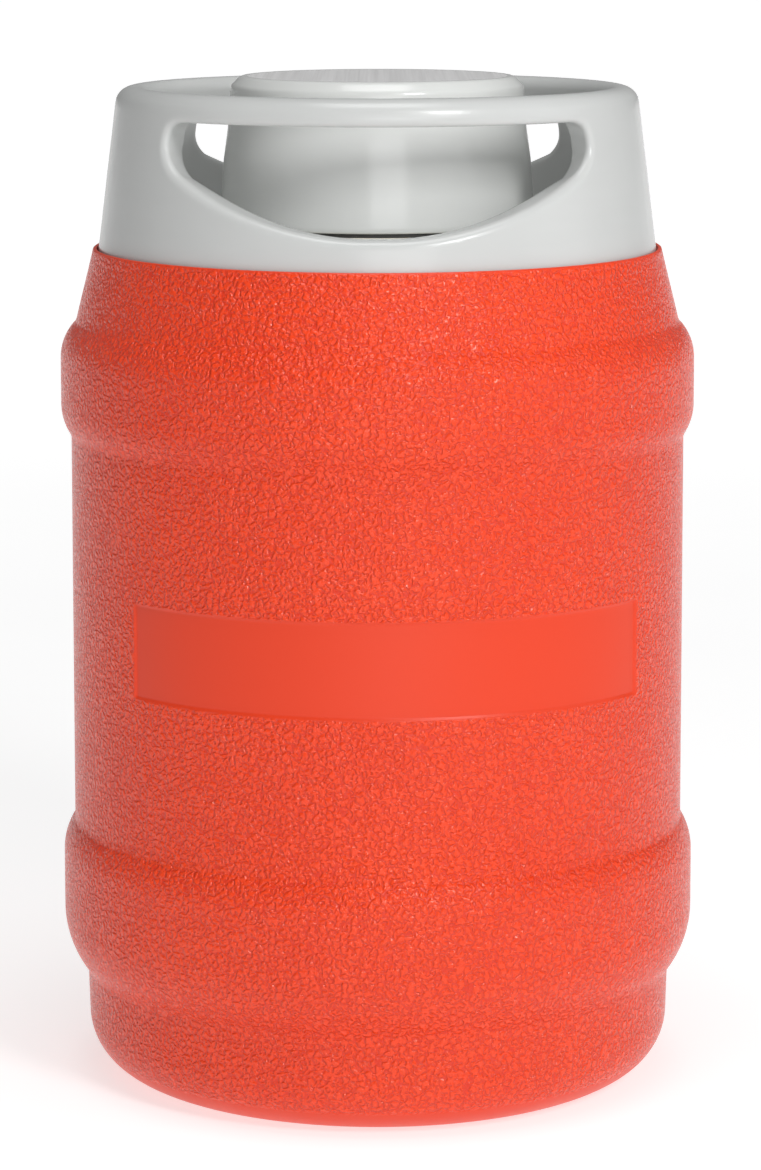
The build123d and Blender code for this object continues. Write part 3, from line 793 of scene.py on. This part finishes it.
def build_cup():
    pts = [(42.4, 243.3), (43.9, 243.3), (44.3, 243.48), (44.48, 243.9), (44.45, 245.0), (44.2, 249.2), (43.85, 255.0), (43.4, 261.2),
           (42.85, 265.6), (42.35, 269.2), (41.8, 275.0), (41.42, 280.6), (41.34, 281.35), (41.1, 281.95), (40.7, 282.4),
           (39.35, 283.75), (38.8, 284.2), (38.2, 284.42), (37.6, 284.5), (36.9, 284.46), (36.3, 284.4)]
    top_edge = len(pts)
    pts += [(r, 284.4) for r in (33, 29, 25, 21, 17, 13, 9, 5)] + [(0.0, 284.4)]
    inner = [(0.0, 282.2), (20.0, 282.2), (37.0, 282.2), (38.3, 281.7), (39.0, 280.4), (40.0, 269.2), (41.0, 261.2), (41.9, 249.2),
             (42.2, 243.8)]
    th = even(288)
    ob = lathe("cup_skin", pts + inner, th, None, 60)
    co = np.zeros(len(ob.data.vertices) * 3, np.float32)
    ob.data.vertices.foreach_get("co", co)
    co = co.reshape(-1, 3) / MM
    r = np.hypot(co[:, 0], co[:, 1])
    lined = smoothstep((36.9 - r) / 0.5) * (co[:, 2] > 284.0)
    at = ob.data.attributes.new("lined", "FLOAT", "POINT")
    at.data.foreach_set("value", lined.astype(np.float32))
    assign(ob, M_CUP)
    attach(ob, "cup")
    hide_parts("drinking_cup")
    return ob


cup = build_cup()

# ------------------------------------------------------------------ button spring


def build_spring():
    r0, wire, z0, pitch, height, k = 8.2, 0.5, 259.8, 2.1, 7.2, 14
    turns = height / pitch
    steps = int(turns * 48)
    verts, faces = [], []
    for i in range(steps + 1):
        a = 2 * math.pi * turns * i / steps
        c = Vector((r0 * math.cos(a), r0 * math.sin(a), z0 + height * i / steps))
        t = Vector((-math.sin(a) * r0, math.cos(a) * r0, pitch / (2 * math.pi))).normalized()
        out = Vector((math.cos(a), math.sin(a), 0))
        side = t.cross(out).normalized()
        for j in range(k):
            b = 2 * math.pi * j / k
            verts.append((c + wire * (math.cos(b) * out + math.sin(b) * side)) * MM)
    for i in range(steps):
        for j in range(k):
            faces.append((i * k + j, i * k + (j + 1) % k, (i + 1) * k + (j + 1) % k, (i + 1) * k + j))
    faces.append(tuple(range(k))[::-1])
    faces.append(tuple(steps * k + j for j in range(k)))
    ob = mesh_object("spring_coil", verts, faces, True, 50)
    assign(ob, M_STEEL)
    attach(ob, "stopper")
    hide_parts("button_spring")
    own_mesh(ob)
    return ob


spring = build_spring()

# ------------------------------------------------------------------ floor, light, world


def build_stage():
    me = bpy.data.meshes.new("floor")
    s = 30.0
    me.from_pydata([(-s, -s, 0), (s, -s, 0), (s, s, 0), (-s, s, 0)], [], [(0, 1, 2, 3)])
    ob = link(bpy.data.objects.new("floor", me))
    ob.location.z = -0.0002
    n = Nodes("pale_floor")
    tone = n.noise(n.co, 3.0, 3.0, 0.5)
    n.link(n.ramp(tone, [(0.3, (0.53, 0.53, 0.53)), (0.7, (0.56, 0.56, 0.56))]), n.bsdf.inputs["Base Color"])
    n.bsdf.inputs["Roughness"].default_value = 0.9
    n.bsdf.inputs["Specular IOR Level"].default_value = 0.1
    n.bsdf.inputs["Emission Color"].default_value = (1, 1, 1, 1)
    dist = n.new("ShaderNodeVectorMath", operation="LENGTH")
    n.link(n.co, dist.inputs[0])
    # painted light: the floor glows by emission, weaker close to the object and stronger farther out
    painted_floor_glow = n.maprange(dist.outputs["Value"], 0.3, 2.2, 0.63 * K_FLOOR, 0.88 * K_FLOOR, True)
    # painted light: the floor's glow is brightest down its middle and falls off gently to both sides
    xyz = n.new("ShaderNodeSeparateXYZ")
    n.link(n.co, xyz.inputs[0])
    across = n.math("DIVIDE", n.math("ABSOLUTE", xyz.outputs["X"]), n.math("MAXIMUM", n.math("ADD", xyz.outputs["Y"], 1.5), 0.8))
    n.link(n.math("MULTIPLY", painted_floor_glow, n.maprange(across, 0.15, 0.9, 1.0, 0.6, True)), n.bsdf.inputs["Emission Strength"])
    assign(ob, n.mat)


def area(name, az, el, dist, size, power, target=(0, 0, 0.15), color=(1, 1, 1)):
    d = bpy.data.lights.new(name, "AREA")
    d.shape = "RECTANGLE"
    d.size, d.size_y = size
    d.energy = power
    d.color = color
    o = link(bpy.data.objects.new(name, d))
    a, e = math.radians(az), math.radians(el)
    t = Vector(target)
    o.location = t + dist * Vector((math.sin(a) * math.cos(e), -math.cos(a) * math.cos(e), math.sin(e)))
    o.rotation_mode = "QUATERNION"
    o.rotation_quaternion = (o.location - t).to_track_quat("Z", "Y")
    return o


K_KEY, K_SIDE, K_TOP, K_WORLD, K_FLOOR = 12.0, 2.0, 15.0, 0.24, 1.0
build_stage()
area("key", 30, 31, 1.7, (0.36, 0.42), K_KEY)
area("fill", 8, 10, 1.7, (0.80, 0.45), 4.0)
area("side", 80, 20, 1.7, (0.9, 0.9), K_SIDE)
area("top", 0, 80, 2.0, (1.0, 1.0), K_TOP, (0, 0, 0.2))
world = bpy.data.worlds.new("world")
world.use_nodes = True
bg = world.node_tree.nodes["Background"]
bg.inputs["Color"].default_value = (1, 1, 1, 1)
bg.inputs["Strength"].default_value = K_WORLD
scene.world = world
scene.view_settings.view_transform = "Standard"
scene.view_settings.look = "None"
scene.view_settings.exposure = 0.0
scene.view_settings.gamma = 1.0
